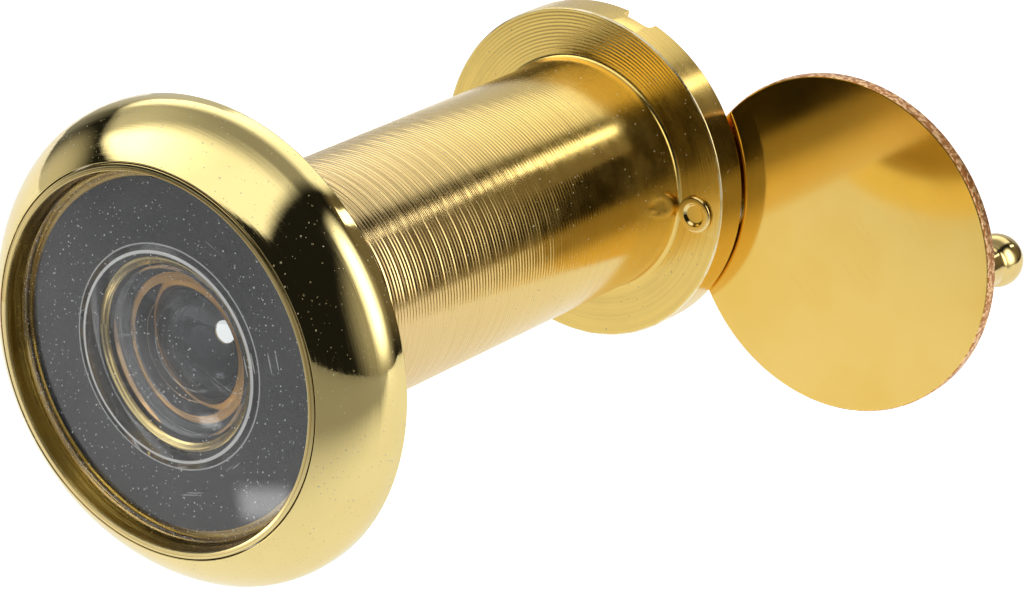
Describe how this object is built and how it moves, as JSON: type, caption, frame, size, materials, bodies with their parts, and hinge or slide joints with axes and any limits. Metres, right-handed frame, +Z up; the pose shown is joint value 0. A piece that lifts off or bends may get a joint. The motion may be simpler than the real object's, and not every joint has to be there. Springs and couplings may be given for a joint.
{
  "type": "door viewer",
  "caption": "Wide-angle door viewer with a domed outer bezel, a threaded sleeve and a round privacy cover that swings behind the inner flange.",
  "frame": {"origin": "centre of the bezel's rear face, on the common axis, where the viewer seats on the outside of the door", "axes": "+Y along the common axis from the outside of the door into the room, +X from the common axis towards the cover's pivot, +Z up"},
  "size_m": [0.04, 0.0461, 0.027],
  "materials": {
    "polished_brass": "mirror polished, pale gold",
    "sleeve_brass": "bright turned thread, warm gold",
    "cover_brass": "mirror polished, deep gold, raw coppery edge",
    "rivet_brass": "peened and burnished",
    "spacer_brass": "lacquered orange-brown",
    "clear_glass": "clear, polished, light dust and hairline scratches",
    "black_paint": "matt black",
    "spring_steel": "satin"
  },
  "bodies": {
    "outer_half": {"outer_bezel": "polished_brass", "outer_barrel": "polished_brass", "objective_lens": "clear_glass", "light_mask": "black_paint", "stack_spacer_ring": "black_paint", "second_lens": "clear_glass", "lens_spacer": "spacer_brass", "third_lens": "clear_glass", "baffle_tube": "black_paint"},
    "eyepiece_cell": {"eyepiece_lens": "clear_glass", "eyepiece_retaining_ring": "rivet_brass"},
    "inner_half": {"inner_sleeve": "sleeve_brass", "pivot_rivet": "rivet_brass", "pivot_washer": "spring_steel"},
    "cover": {"cover_disc": "cover_brass", "cover_knob": "cover_brass"}
  },
  "joints": [
    {"name": "thread_advance", "type": "slide", "parent": "outer_half", "child": "eyepiece_cell", "axis": [0, 1, 0], "range_m": [0, 0.0201]},
    {"name": "thread_turn", "type": "hinge", "parent": "eyepiece_cell", "child": "inner_half", "pos_m": [0, 0, 0], "axis": [0, 1, 0], "range_deg": [0, 7200]},
    {"name": "cover_swing", "type": "hinge", "parent": "inner_half", "child": "cover", "pos_m": [0.00825, 0.0364, 0], "axis": [0, 1, 0], "continuous": true}
  ],
  "couplings": [
    {"joint": "thread_advance", "follows": "thread_turn", "m_per_rad": 0.00015915}
  ]
}
